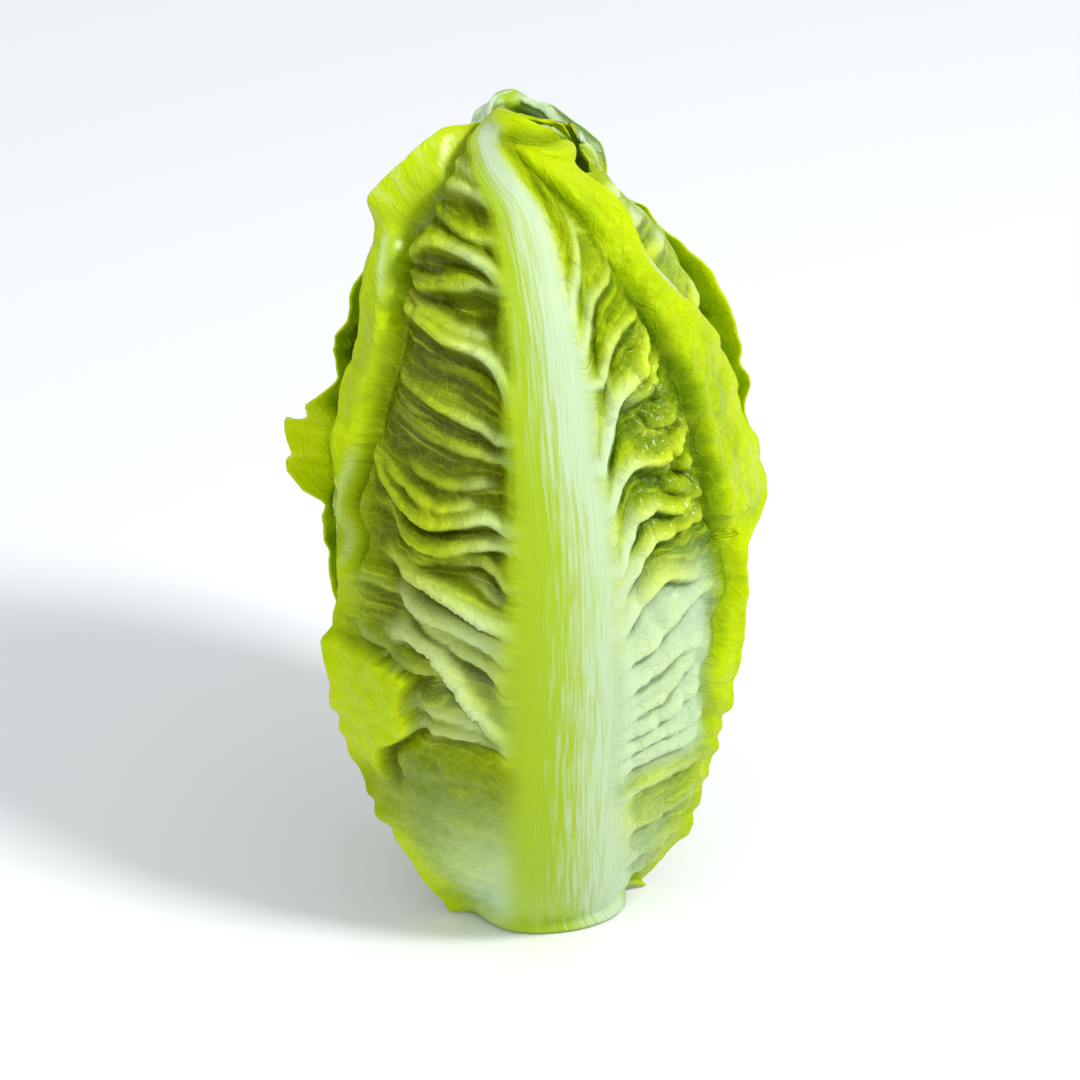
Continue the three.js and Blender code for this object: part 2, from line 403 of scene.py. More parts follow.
def veined(leaf, arc, z, side, out, from_rib, blade, warp):
    """The lie of a leaf with grown side veins, in the same terms as a folded one's."""
    broad_x, broad_z, fine_x, fine_z = warp
    away = np.maximum(from_rib, 0) + 1.6 * broad_x + fine_x
    both = [veins.read(np.maximum(away, 0), z + 1.8 * broad_z + fine_z) for veins in leaf.veins]
    phase, hollow, pitch, flow = [np.where(side < 0, left, right) for left, right in zip(*both)]
    crest = mix(1.5, 0.5, ease(0, 28, from_rib))
    above, below = np.maximum(phase * pitch - crest, 0), np.maximum((1 - phase) * pitch - 0.6 * crest, 0)
    sunk = ease(0, 6, above) * ease(0, 2.6, below) * blade
    nearest = np.minimum(phase, 1 - phase) * pitch
    vein = (1 - ease(0.5 * crest, 1.6 * crest, nearest)) * ease(-2, 1, from_rib)
    vein *= 1 - ease(0.3, 0.95, out)
    streak = 0.6 * noise(phase * pitch / 1.7 + 5 * np.floor(z / 30), away / 13, leaf.seed + 41)
    streak *= ease(0, 2.5, nearest)
    deep = np.clip(hollow / 2, 0, 1)
    # Painted shade: darker in the hollows and just under each vein
    painted_shade = np.clip(0.4 * sunk + 0.6 * bump(below, 1.8, 1.8) * blade, 0, 1) * deep
    ledge = -0.7 * below * np.exp(-((below / 1.5) ** 2)) * blade * deep
    return sunk, hollow, vein, streak, painted_shade, ledge, flow


def shape_leaf(leaf, wrapping, outer_leaves):
    """The leaf's outer and inner faces as grids of points, and what its finish needs to know of each."""
    side = np.linspace(-1, 1, leaf.columns)[None, :]
    z = rows_by_length(leaf)[:, None] + 0 * side
    left, right = leaf.half_widths(z)
    half = np.where(side < 0, left, right)
    arc = side * half
    share = (z - leaf.root) / (leaf.top - leaf.root)
    out = np.abs(side) + 0 * z  # 0 on the midrib, 1 at the margin
    depth_here = leaf.depth * mix(1, 0.7, ease(100, 140, z))
    radius = np.maximum(head_radius(z) - depth_here, 3.5)

    def direction(reach):
        wrap = (reach + leaf.rib_path(z)) / radius
        return leaf.turn + WIDEST_WRAP * np.tanh(wrap / WIDEST_WRAP)

    angle = direction(arc)
    bare = np.ones_like(z)
    for other in outer_leaves:
        bare *= 1 - other.covers(angle, z)

    # The midrib
    rib_half = leaf.rib_width * leaf.rib_taper(share)
    rib_half = rib_half * (1 + 0.07 * noise(z / 8, np.sign(side) + 0 * z, leaf.seed + 9))
    from_rib = np.abs(arc) - rib_half

    # Side veins, the hollows between them, and the puckers in the hollows
    blade = ease(-1.2, 2.6, from_rib) * (1 - 0.75 * ease(0.7, 1, out))
    fine_x = 0.3 * noise(arc / 6, z / 6, leaf.seed + 12)
    fine_z = 0.35 * noise(arc / 6, z / 6, leaf.seed + 14)
    broad_x = noise(arc / 15, z / 15, leaf.seed + 11)
    broad_z = noise(arc / 15, z / 15, leaf.seed + 13)
    warp = (broad_x, broad_z, fine_x, fine_z)
    lie = folded if leaf.folds else veined
    sunk, hollow, vein, streak, painted_shade, ledge, flow = lie(leaf, arc, z, side, out, from_rib, blade, warp)
    joined = from_rib - 2.6 * vein * ease(7, 0, from_rib)  # the veins widen as they run into the midrib
    rib = 1 - ease(-0.4 * rib_half, 0.12 * rib_half + 0.5, joined)
    rib_rise = leaf.rib_rise * mix(1, 0.25, share) * rib
    cells = blisters((arc + 2 * broad_x) / 7.5, (z + 2 * broad_z) / 6.5, leaf.seed + 21)
    small_cells = blisters((arc - 2 * broad_x) / 3.4, (z - 2 * broad_z) / 3.0, leaf.seed + 22)
    swell = noise(arc / 22, z / 22, leaf.seed + 23)
    uncovered = mix(0.3, 1, bare)
    pale = ease(0.3, 0.02, z / HEAD_HEIGHT) * ease(1, 0.3, out)
    lime = ease(0.8, 1, out + 0.06 * noise(z / 5.5, 0 * z, leaf.seed + 35))
    if any(leaf.sway):
        lime = lime * ease(leaf.top - 4, leaf.top - 12, z)
    more = 0
    rolled = wet = 0 * z
    if leaf.relief:
        more, more_pale, more_lime, more_painted_shade, rolled, wet = leaf.relief(arc, z, left, right)
        sunk *= 1 - 0.7 * rolled
        ledge *= 1 - rolled
        # The front leaf's painted shade in its grooves joins the painted shade of the hollows
        painted_shade = np.maximum(painted_shade * (1 - rolled), more_painted_shade)
        pale, lime = np.maximum(pale, more_pale), np.maximum(lime, more_lime)
    lift = leaf.lift * uncovered
    lift = lift - hollow * sunk * uncovered
    lift += (0.35 * vein + leaf.pucker * (0.75 * cells + 0.25 * small_cells - 0.5) * blade) * uncovered
    lift += 0.5 * swell * uncovered
    lift += more * uncovered
    streak *= blade * (1 - 0.6 * np.maximum(lime, rolled))
    rib_colour = np.maximum(rib, 0.85 * vein * ease(4.5, 0, from_rib))
    if leaf.lip:
        rib_colour = rib_colour * ease(leaf.top - 1.8, leaf.top - 4, z)
    lift += PLEAT_HEIGHT * streak * uncovered
    low_down = 0.9 * ease(86, 74, z) if leaf.folds else 0
    near_root = np.maximum(ease(13, 1, from_rib), low_down)
    pale = np.maximum(pale, 0.9 * vein * near_root * (1 - lime))
    lift = np.where(lift > 0.3, lift, 0.3 * np.exp(np.minimum(lift, 0.3) / 0.3 - 1))

    # The frilled and rolled margin
    frill_wave = noise(z / 5.5 + 40 * (side > 0), 0 * z, leaf.seed + 31)
    frill_wave += 0.5 * noise(z / 2.4, 0 * z, leaf.seed + 32)
    frill = leaf.frill * bare * ease(0.78, 1, out) * (0.6 + frill_wave)
    frill *= ease(leaf.top, leaf.top - 9, z)
    frill += leaf.lip * ease(leaf.top - 3.5, leaf.top, z) ** 2 * ease(-12, -4, arc)
    strip = (2.2 + 1.6 * noise(z / 9, 0 * z + 9 * (side > 0), leaf.seed + 33)) * np.minimum(half / 20, 1)
    roll = MARGIN_CURL * bare * (0.7 + 0.9 * noise(z / 11, 0 * z + 5 * (side > 0), leaf.seed + 34))
    if leaf.flare:
        more_roll, more_strip, more_frill = leaf.flare(arc, z, left, right, bare)
        roll, strip, frill = roll + more_roll, strip + more_strip, frill + more_frill
    roll = roll * ease(leaf.top + 1, leaf.top - 9, z)
    past = np.maximum(np.abs(arc) - (half - strip), 0)
    run, rise = roll_margin(past, strip, roll)
    arc_now = np.where(past > 0, np.sign(arc) * (half - strip + run), arc)
    angle = direction(arc_now)

    # Where the leaf lies: on the head's own curve, or on what is already there if that stands further out
    slope = np.gradient(head_radius(z[:, 0]), z[:, 0])[:, None]
    tilt = np.arctan(-slope)  # of the head's surface: 0 on its upright sides, up to 90 degrees on its top
    design = head_radius(z) - depth_here - leaf.lift * np.cos(tilt)
    under = wrapping.under(angle, z) + (LEAF_GAP + BLADE_THICKNESS / 2) / np.maximum(np.cos(tilt), 0.35)
    under += 0.5 * ease(138, 148, z)
    under = np.where(z > 138, np.minimum(under, np.maximum(head_radius(z), 4) + 1.5), under)
    over = design - under
    radius_now = under + np.where(over > 0, over, 0) + 0.3 * np.exp(-np.abs(over) / 0.3)
    stand = lift + frill + rise
    flat = radius_now + stand * np.cos(tilt)
    level = z + (stand - leaf.lift) * np.sin(tilt)
    middle = np.stack([flat * np.cos(angle), flat * np.sin(angle), level], -1)
    over_top = np.clip((z - leaf.top) / 13 + 1, 0, 1)
    edge_wave = 0.7 * noise(arc / 3.5, 0 * z, leaf.seed + 61) * ease(leaf.top - 4, leaf.top, z)
    middle += np.array(leaf.sway) * over_top[..., None] ** 2
    middle[..., 2] += edge_wave

    # Outer and inner face, half the thickness to each side of that surface
    along = np.gradient(middle, axis=0)
    across = np.gradient(middle, axis=1)
    normal = np.cross(across, along)
    normal /= np.maximum(np.linalg.norm(normal, axis=-1, keepdims=True), 1e-9)
    thick = mix(BLADE_THICKNESS, MARGIN_THICKNESS, ease(0.8, 1, out))[..., None]
    outward = np.stack([np.cos(angle) * np.cos(tilt), np.sin(angle) * np.cos(tilt), np.sin(tilt) + 0 * z], -1)
    outer = middle + normal * thick / 2 + outward * rib_rise[..., None]
    inner = middle - normal * thick / 2
    marks = {
        "rib": rib_colour,
        "green": leaf.greenness(arc, z),
        "vein": vein,
        # hollow carries the painted shade of the hollows, creases and grooves
        "hollow": painted_shade,
        "rim": lime,
        "pale": pale,
        "streak": streak,
        "flow": flow,
        "ledge": ledge,
        "calm": np.maximum(rolled, 0.8 * lime),
        "wet": np.maximum(wet, 0.5 * ease(0.3, 0.8, swell)),
        "away": np.abs(arc),
        # across: the side of the midrib, moved left higher up, so the finish can paint the lit side paler
        "across": np.clip(arc / rib_half + leaf.rib_light * ease(82, 125, z), -1, 1.6),
    }
    for face in (outer, inner):
        face[..., 2] = np.maximum(face[..., 2], FLOOR_CLEARANCE)
    return outer, inner, marks, np.stack([arc, z, 0 * z + leaf.seed * 3.7], -1)


def closed_mesh(name, outer, inner, marks, place):
    """A thin closed body from two grids of points, joined round their edges."""
    rows, columns = outer.shape[:2]
    count = rows * columns
    grid = np.arange(count).reshape(rows, columns)

    def quads(*corners):
        return np.stack([corner.ravel() for corner in corners], -1)

    faces = [quads(grid[:-1, :-1], grid[:-1, 1:], grid[1:, 1:], grid[1:, :-1])]
    faces.append(faces[0][:, ::-1] + count)
    rim = np.concatenate([grid[0, :-1], grid[:-1, -1], grid[-1, :0:-1], grid[:0:-1, 0]])
    following = np.roll(rim, -1)
    faces.append(quads(following, rim, rim + count, following + count))
    faces = np.concatenate(faces).astype(np.int32)
    points = np.concatenate([outer.reshape(-1, 3), inner.reshape(-1, 3)]) * MM
    mesh = bpy.data.meshes.new(name)
    mesh.vertices.add(len(points))
    mesh.vertices.foreach_set("co", points.ravel())
    mesh.loops.add(faces.size)
    mesh.loops.foreach_set("vertex_index", faces.ravel())
    mesh.polygons.add(len(faces))
    mesh.polygons.foreach_set("loop_start", np.arange(0, faces.size, 4, dtype=np.int32))
    mesh.polygons.foreach_set("use_smooth", np.ones(len(faces), bool))
    mesh.update(calc_edges=True)
    mesh.validate()
    for mark, values in marks.items():
        set_marks(mesh, mark, np.tile(values.ravel(), 2))
    set_marks(mesh, "inside", np.repeat([0.0, 1.0], count))
    return placed(name, mesh, np.concatenate([place.reshape(-1, 3)] * 2))


def set_marks(mesh, mark, values):
    """Stores a value at each point, for the finish to read."""
    mesh.attributes.new(mark, "FLOAT", "POINT").data.foreach_set("value", values.astype(np.float32))


def placed(name, mesh, place):
    """Makes the piece, and stores where its patterns take each of its points to be, in millimetres."""
    where = mesh.attributes.new("place", "FLOAT_VECTOR", "POINT")
    where.data.foreach_set("vector", place.astype(np.float32).ravel())
    made = bpy.data.objects.new(name, mesh)
    bpy.context.scene.collection.objects.link(made)
    return made


def settle_in(piece, node, finish):
    """Gives a piece its finish, and the solid that it stands for."""
    piece.data.materials.append(finish)
    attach(piece, "root")
    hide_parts(node)


def turned_mesh(name, rings, marks):
    """A closed body from rings of points, from the middle of its underside to its tip."""
    rows, columns = rings.shape[:2]
    grid = np.arange(rows * columns).reshape(rows, columns)
    following = np.roll(grid, -1, 1)
    sides = np.stack([grid[:-1], following[:-1], following[1:], grid[1:]], -1).reshape(-1, 4).tolist()
    bottom, tip = rows * columns, rows * columns + 1
    sides += [(bottom, second, first) for first, second in zip(grid[0].tolist(), following[0].tolist())]
    sides += [(tip, first, second) for first, second in zip(grid[-1].tolist(), following[-1].tolist())]
    ends = np.array([rings[0].mean(0), rings[-1].mean(0)])
    points = np.concatenate([rings.reshape(-1, 3), ends])
    mesh = bpy.data.meshes.new(name)
    mesh.from_pydata((points * MM).tolist(), [], sides)
    mesh.polygons.foreach_set("use_smooth", np.ones(len(mesh.polygons), bool))
    for mark, values in marks.items():
        set_marks(mesh, mark, np.concatenate([values.ravel(), [values[0].mean(), values[-1].mean()]]))
    return placed(name, mesh, points)


def build_stem(finish):
    """The short solid stem: its flat cut underneath, and the scars where the leaves leave it."""
    around = np.linspace(0, 2 * np.pi, 72, endpoint=False)[None, :]
    face = np.linspace(0.04, 1, 22)[:, None] * np.ones_like(around)
    out_of_round = 1 + 0.025 * np.sin(2 * around + 0.7) + 0.02 * np.sin(5 * around)
    flat_radius = face * (CUT_RADIUS - STEM_CHAMFER) * out_of_round
    ring = bump(face, 0.62, 0.05) + 0.6 * bump(face, 0.2, 0.12)
    flat_height = 0.16 - 0.16 * ease(0.75, 0.95, face) + 0.1 * ring * np.sin(9 * around) ** 2
    height = np.linspace(STEM_CHAMFER, STEM_HEIGHT, 44)[:, None] * np.ones_like(around)
    narrowing = (height / STEM_HEIGHT) ** STEM_TAPER
    scars = 0.3 * blisters(around * 9 / np.pi + height * 0, height / 4.2, 301)
    side_radius = mix(CUT_RADIUS, STEM_TOP_RADIUS, narrowing) * mix(out_of_round, 1, narrowing)
    side_radius = side_radius - 0.3 + scars
    radius = np.concatenate([flat_radius, side_radius])
    level = np.concatenate([flat_height, height])
    rings = np.stack([radius * np.cos(around), radius * np.sin(around), level], -1)
    on_face = np.concatenate([np.ones_like(face), 0 * height])
    marks = {"cut": on_face, "spoke": np.concatenate([face, 1 + 0 * height])}
    settle_in(turned_mesh("cut_stem_grown", rings, marks), "cut_stem", finish)


def build_bud(finish):
    """The growing point: tiny leaves furled tight, one edge winding round the next."""
    around = np.linspace(0, 2 * np.pi, 60, endpoint=False)[None, :]
    share = np.linspace(0.015, 0.985, 56)[:, None] * np.ones_like(around)
    furl = (3 * around / (2 * np.pi) + 0.8 * share) % 1
    swell = np.sin(np.pi * share**BUD_FULLNESS)
    radius = BUD_RADIUS * swell * (0.8 + 0.2 * furl**0.6) * (1 + 0.03 * noise(around * 3, share * 20, 311))
    level = STEM_HEIGHT + BUD_CLEARANCE + BUD_HEIGHT * share
    rings = np.stack([radius * np.cos(around), radius * np.sin(around), level], -1)
    marks = {mark: 0 * share for mark in LEAF_MARKS}
    marks["flow"] = furl * 10
    marks["rim"] = ease(0.85, 1, furl)
    settle_in(turned_mesh("heart_bud_grown", rings, marks), "heart_bud", finish)


# ---- Materials ----


def linear(code):
    """An sRGB hex colour as the linear colour that shaders take."""
    parts = [int(code[i : i + 2], 16) / 255 for i in (1, 3, 5)]
    return [c / 12.92 if c <= 0.04045 else ((c + 0.055) / 1.055) ** 2.4 for c in parts] + [1.0]


def add(tree, kind, inputs=None, **settings):
    """Adds a node: its settings, and for each socket a value, or the node or socket that feeds it."""
    made = tree.nodes.new("ShaderNode" + kind)
    for name, value in settings.items():
        setattr(made, name, value)
    for socket, value in (inputs or {}).items():
        if isinstance(value, bpy.types.Node):
            value = value.outputs[0]
        if isinstance(value, bpy.types.NodeSocket):
            tree.links.new(value, made.inputs[socket])
        else:
            made.inputs[socket].default_value = value
    return made


def new_material(name):
    material = bpy.data.materials.new(name)
    material.use_nodes = True
    tree = material.node_tree
    tree.nodes.clear()
    return material, tree


def painted(tree, base, coats):
    """Lays coats of colour over a base, one by one. Each coat is a share, a strength and its colour."""
    colour = base
    for share, strength, coat in coats:
        share = add(tree, "Math", {0: share, 1: strength}, operation="MULTIPLY")
        colour = add(tree, "Mix", {0: share, 6: colour, 7: coat}, data_type="RGBA").outputs[2]
    return colour


def leaf_finish(name, gloss, **colours):
    """Fresh lettuce leaf: a thin waxy skin over wet tissue. Light glows through the blade, the skin gives
    soft bright glints, and the pale veins make a fine net in it."""
    material, tree = new_material(name)
    shade = {part: linear(code) for part, code in colours.items()}
    mark = {part: add(tree, "Attribute", attribute_name=part).outputs["Fac"] for part in LEAF_MARKS}
    place = add(tree, "Attribute", attribute_name="place").outputs["Vector"]

    # Clouds 14 mm across, grain 1.1 mm, nets of veins 2.6 and 0.9 mm, and creases that run along the folds
    cloud = add(tree, "TexNoise", {"Vector": place, "Scale": 1 / 14, "Detail": 3.0, "Roughness": 0.6})
    grain = add(tree, "TexNoise", {"Vector": place, "Scale": 1 / 1.1, "Detail": 4.0, "Roughness": 0.6})
    net = add(tree, "TexVoronoi", {"Vector": place, "Scale": 1 / 2.6}, feature="DISTANCE_TO_EDGE")
    fine_net = add(tree, "TexVoronoi", {"Vector": place, "Scale": 1 / 0.9}, feature="DISTANCE_TO_EDGE")
    along = add(tree, "CombineXYZ", {0: mark["flow"], 1: mark["away"]}).outputs[0]
    along = add(tree, "VectorMath", {0: along, 1: (1 / 1.3, 1 / 16, 0.0)}, operation="MULTIPLY")
    creases = add(tree, "TexNoise", {"Vector": along, "Scale": 1.0, "Detail": 4.0, "Roughness": 0.62})
    upright = add(tree, "VectorMath", {0: place, 1: (1.6, 0.07, 1.0)}, operation="MULTIPLY")
    streaks = add(tree, "TexNoise", {"Vector": upright, "Scale": 1.0, "Detail": 3.0, "Roughness": 0.65})

    soft = {}
    for part, value, low, high, least, most in (
        ("cloud", cloud, 0.3, 0.7, 0.0, 1.0),
        ("grain", grain, 0.35, 0.75, 0.0, 1.0),
        ("threads", net, 0.0, 0.11, 1.0, 0.0),
        ("fine_threads", fine_net, 0.0, 0.12, 1.0, 0.0),
        ("raised_pleat", mark["streak"], 0.1, 0.7, 0.0, 1.0),
        ("sunk_pleat", mark["streak"], -0.1, -0.7, 0.0, 1.0),
        ("uncalm", mark["calm"], 0.0, 0.9, 1.0, 0.12),
        ("unpale", mark["pale"], 0.0, 0.8, 1.0, 0.35),
        ("raised_crease", creases, 0.52, 0.68, 0.0, 1.0),
        ("sunk_crease", creases, 0.48, 0.33, 0.0, 1.0),
        ("painted_undercut_shadow", mark["ledge"], -0.12, -0.5, 0.0, 1.0),
        ("ledge", mark["ledge"], -0.6, 0.05, 0.0, 1.0),
        ("tint", streaks, 0.36, 0.66, -0.3, 0.3),
        ("rough", grain, 0.3, 0.7, gloss, gloss + 0.18),
        ("dry", mark["wet"], 0.0, 1.0, 1.0, 0.7),
    ):
        inputs = {"Value": value, "From Min": low, "From Max": high, "To Min": least, "To Max": most}
        soft[part] = add(tree, "MapRange", inputs, interpolation_type="SMOOTHSTEP")
    creased = add(tree, "Math", {0: soft["uncalm"], 1: soft["unpale"]}, operation="MULTIPLY")
    raised = add(tree, "Math", {0: soft["raised_crease"], 1: creased}, operation="MULTIPLY")
    sunk = add(tree, "Math", {0: soft["sunk_crease"], 1: creased}, operation="MULTIPLY")
    # deep is the colour of the painted shade, olive or greener by the green mark
    deep = painted(tree, shade["deep"], [(mark["green"], 1.0, shade["deep_green"])])
    # Painted highlight: the midrib takes the pale rib colour on its right, lit side and rib_green elsewhere
    lit_side = add(tree, "Math", {0: mark["across"], 1: soft["tint"]}, operation="ADD")
    inputs = {"Value": lit_side, "From Min": -0.35, "From Max": 0.75}
    lit_side = add(tree, "MapRange", inputs, interpolation_type="SMOOTHSTEP")
    midrib = painted(tree, shade["rib_green"], [(lit_side, 1.0, shade["rib"])])
    colour = painted(tree, shade["blade"], [
        (soft["cloud"], 1.0, shade["rim"]),
        (soft["grain"], 0.35, shade["deep_green"]),
        (mark["rim"], 0.8, shade["rim"]),
        # Painted shade in the hollows; raised pleats and creases go lime and vein-pale, and the sunk ones
        # take the painted shade
        (mark["hollow"], 0.95, deep),
        (soft["raised_pleat"], 0.4, shade["rim"]),
        (soft["sunk_pleat"], 0.45, deep),
        (raised, 0.4, shade["vein"]),
        (sunk, 0.5, deep),
        # The inner face: its own yellower green, painted brighter to stand in for light shining through the
        # leaf
        (mark["inside"], 0.7, shade["inside"]),
        (soft["threads"], 0.08, shade["vein"]),
        (soft["fine_threads"], 0.05, shade["vein"]),
        (mark["vein"], 0.85, shade["vein"]),
        # The pale mark holds pale tissue and the front leaf's painted highlights
        (mark["pale"], 0.85, shade["pale"]),
        # Painted shadow just under each crest
        (soft["painted_undercut_shadow"], 0.7, deep),
        (mark["rib"], 0.97, midrib),
    ])

    crease_height = add(tree, "Math", {0: creases, 1: creased}, operation="MULTIPLY")
    height = 0.0
    for part, strength in (
        (grain, 0.45),
        (soft["threads"], 0.3),
        (soft["fine_threads"], 0.05),
        (crease_height, 1.1),
        (soft["ledge"], 1.8),
    ):
        height = add(tree, "Math", {0: part, 1: strength, 2: height}, operation="MULTIPLY_ADD")
    rib_height = add(tree, "Math", {0: streaks, 1: 0.5}, operation="MULTIPLY")
    relief = add(tree, "Mix", {0: mark["rib"], 2: height, 3: rib_height}, data_type="FLOAT")
    shader = add(tree, "BsdfPrincipled", {
        "Base Color": colour,
        "Roughness": add(tree, "Math", {0: soft["rough"], 1: soft["dry"]}, operation="MULTIPLY"),
        "IOR": 1.37,
        "Specular IOR Level": 0.25,
        "Specular Tint": linear("#f4ff80"),
        "Coat Weight": add(tree, "Math", {0: mark["wet"], 1: 0.4}, operation="MULTIPLY"),
        "Coat Roughness": 0.2,
        "Subsurface Weight": 0.22,
        "Subsurface Radius": (0.9, 1.5, 0.25),
        "Subsurface Scale": 1.5 * MM,
        "Normal": add(tree, "Bump", {"Height": relief, "Distance": 0.35 * MM, "Strength": 0.8}),
    })
    add(tree, "OutputMaterial", {"Surface": shader})
    return material


def stem_finish():
    """Cut lettuce stem: wet cream pith that light sinks into, with a greener rind, and the ring of veins
    gone rusty where it was cut."""
    material, tree = new_material("cut_lettuce_stem")
    place = add(tree, "Attribute", attribute_name="place").outputs["Vector"]
    spoke = add(tree, "Attribute", attribute_name="spoke").outputs["Fac"]
    cut = add(tree, "Attribute", attribute_name="cut").outputs["Fac"]
    cloud = add(tree, "TexNoise", {"Vector": place, "Scale": 1 / 5, "Detail": 4.0, "Roughness": 0.6})
    grain = add(tree, "TexNoise", {"Vector": place, "Scale": 1 / 0.7, "Detail": 3.0})
    inputs = {"Value": spoke, "From Min": 0.5, "From Max": 0.72}
    ring = add(tree, "MapRange", inputs, interpolation_type="SMOOTHSTEP")
    inputs = {"Value": spoke, "From Min": 0.72, "From Max": 0.98}
    rind = add(tree, "MapRange", inputs, interpolation_type="SMOOTHSTEP")
    rusty = add(tree, "Math", {0: ring, 1: rind}, operation="SUBTRACT")
    patchy = add(tree, "Math", {0: rusty, 1: cloud}, operation="MULTIPLY")
    on_cut = add(tree, "Math", {0: patchy, 1: cut}, operation="MULTIPLY")
    colour = painted(tree, linear("#e9ead0"), [
        (cloud, 1.0, linear("#dbe3ac")),
        (rind, 1.0, linear("#cad98a")),
        (on_cut, 1.0, linear("#b5763c")),
    ])
    shader = add(tree, "BsdfPrincipled", {
        "Base Color": colour,
        "Roughness": add(tree, "MapRange", {"Value": grain, "To Min": 0.35, "To Max": 0.6}),
        "IOR": 1.4,
        "Subsurface Weight": 0.2,
        "Subsurface Radius": (1.2, 1.2, 0.6),
        "Subsurface Scale": 1.2 * MM,
        "Normal": add(tree, "Bump", {"Height": grain, "Distance": 0.2 * MM, "Strength": 0.7}),
    })
    add(tree, "OutputMaterial", {"Surface": shader})
    return material


# ---- The plan of the head ----


FRONT_RIB_WIDTH = 11
FRONT_TOP = 154.3
BACK_TOP = 153

# Each fold: its height over the hollows beside it, its paleness, and (distance from the midrib, height above
# the floor) along its crest
FRONT_LEFT_FOLDS = [
    (1.0, 0.3, [(5, 147), (10, 147.5), (15, 146)]),
    (1.2, 0.4, [(5, 144.7), (10, 144.9), (16, 144)]),
    (2.2, 0.6, [(4.5, 142.2), (10, 142.6), (16, 141.8), (21, 141.5)]),
    (2.6, 0.15, [(6, 136.6), (10, 137), (15, 137.6), (20, 138.2), (24, 139)]),
    (3.8, 0.8, [(5.5, 131.4), (9, 133.3), (14, 134.1), (20, 133.6), (26, 132), (31, 130.6)]),
    (3.0, 0.3, [(11, 129.9), (13, 129.3), (20, 128.2), (24, 127.8), (28, 128.6)]),
    (1.4, 0.6, [(12, 122.6), (16, 123.3), (22, 124.9), (27, 125.8)]),
    (4.0, 0.9, [
        (6.5, 115), (8.5, 117.8), (11, 119.4), (15, 120.6), (20, 122.1), (24, 123.2), (29, 123.9),
        (32, 124.4),
    ]),
    (2.2, 0.5, [(9.5, 107.2), (12, 108.8), (17.5, 110.4), (22, 111.5), (29.5, 113.5), (33, 114.6)]),
    (1.7, 0.25, [(10, 104.2), (16, 105), (24, 106.2), (32, 109)]),
    (1.2, 0.5, [(13, 99.6), (18, 98.6), (23, 98.8), (28, 100.8)]),
    (2.0, 0.75, [(16, 95.6), (20, 94.4), (22, 93.8), (25.5, 94.6), (29.5, 97), (34.5, 99.4)]),
    (3.4, 0.85, [
        (10, 92.4), (13, 93.7), (16, 93), (19, 91.8), (23, 91.2), (28.5, 91.8), (33, 95.2),
        (36, 98), (38, 102),
    ]),
    (3.2, 0.6, [
        (10, 89.6), (14, 89), (18, 87.7), (22, 86.7), (26, 86.2), (29.5, 86.8), (31.5, 89), (33, 91.5),
    ]),
    (2.6, 0.25, [(10, 82), (12.5, 84.8), (14, 85.8), (20, 85), (28, 83.2), (34, 82)]),
    (1.3, 0.3, [(11.5, 79.4), (14, 80.8), (17, 82.8)]),
    (3.9, 1.0, [(10, 73.4), (15.5, 75.2), (21, 77.6), (26.5, 80), (30.5, 81.4), (33, 83.4)]),
    (1.6, 0.2, [(33, 76.5), (39, 77), (45, 75)]),
    (2.8, 0.9, [(10, 68.4), (18.5, 71.3), (24, 73), (27, 74), (31, 76.5)]),
    (3.0, 0.55, [(10, 63.3), (12, 64.6), (17.5, 67.6), (23.5, 70.8), (28, 73)]),
    (3.4, 1.0, [
        (10, 51.8), (12, 52.8), (14, 54.3), (17, 57.5), (19.5, 61.5), (22, 65), (25, 67.2), (29.5, 68),
        (33, 67),
    ]),
    (1.8, 0.3, [(24, 62), (30, 62.5), (36, 64), (42, 66)]),
    (1.6, 0.7, [(10, 51), (15, 52.3), (21, 53.4), (29, 53.8)]),
    (1.6, 0.6, [(10, 49.4), (16, 50), (24, 50), (30, 49.6)]),
    (0.8, 0.2, [(10, 28), (20, 30.5), (35, 33)]),
    (0.8, 0.3, [(9, 15), (20, 18), (32, 20)]),
]
